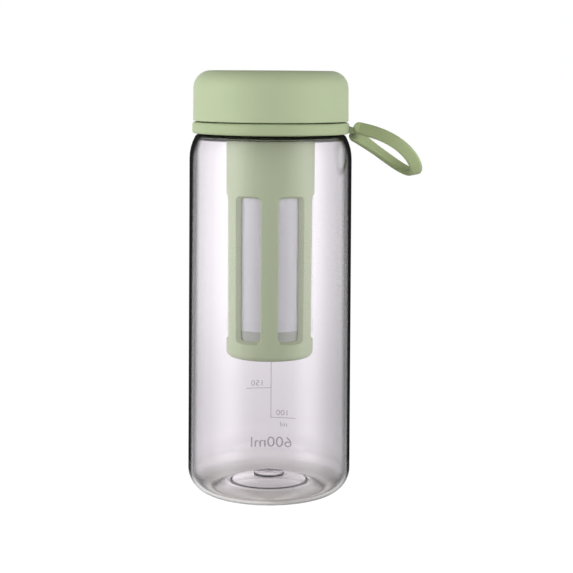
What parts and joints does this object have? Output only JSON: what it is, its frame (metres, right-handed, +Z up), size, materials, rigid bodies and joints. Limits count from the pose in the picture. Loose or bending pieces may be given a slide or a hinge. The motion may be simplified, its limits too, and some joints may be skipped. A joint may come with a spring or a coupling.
{
  "type": "tea infuser bottle",
  "caption": "Clear drinking bottle with a screw lid, a long windowed tea infuser with a fine mesh inside, and a turning carry ring with a soft loop.",
  "frame": {"origin": "centre of the standing ring under the bottle, on the bottle's axis", "axes": "+Z up along the bottle's axis, +X towards the carry loop, -Y towards the viewer of the picture"},
  "size_m": [0.1072, 0.0758, 0.196],
  "materials": {
    "clear_bottle": "clear copolyester, polished",
    "sage_plastic": "fine matt, sage green",
    "sage_silicone": "soft silicone, olive sage",
    "gasket_silicone": "translucent white silicone",
    "steel_mesh": "fine woven mesh"
  },
  "bodies": {
    "bottle": {"bottle_body": "clear_bottle"},
    "collar": {"collar_ring": "sage_plastic"},
    "strap": {"strap_loop": "sage_silicone"},
    "seal": {"lid_seal": "gasket_silicone"},
    "lid": {"lid_shell": "sage_plastic", "lid_liner": "sage_plastic"},
    "infuser": {"infuser_frame": "sage_plastic", "infuser_mesh": "steel_mesh", "infuser_floor": "steel_mesh"}
  },
  "joints": [
    {"name": "collar_swivel", "type": "hinge", "parent": "bottle", "child": "collar", "pos_m": [0, 0, 0.1701], "axis": [0, 0, 1], "continuous": true},
    {"name": "strap_swing", "type": "hinge", "parent": "collar", "child": "strap", "pos_m": [0.0397, 0, 0.1683], "axis": [0.1341, -0.9252, 0.355], "range_deg": [-54, 116]},
    {"name": "lid_rise", "type": "slide", "parent": "bottle", "child": "seal", "axis": [0, 0, 1], "range_m": [0, 0.006]},
    {"name": "lid_turn", "type": "hinge", "parent": "seal", "child": "lid", "pos_m": [0, 0, 0.19], "axis": [0, 0, 1], "range_deg": [0, 540]},
    {"name": "infuser_twist", "type": "hinge", "parent": "lid", "child": "infuser", "pos_m": [0, 0, 0.185], "axis": [0, 0, 1], "range_deg": [0, 60]}
  ],
  "couplings": [
    {"joint": "lid_rise", "follows": "lid_turn", "m_per_rad": 0.00063662}
  ]
}
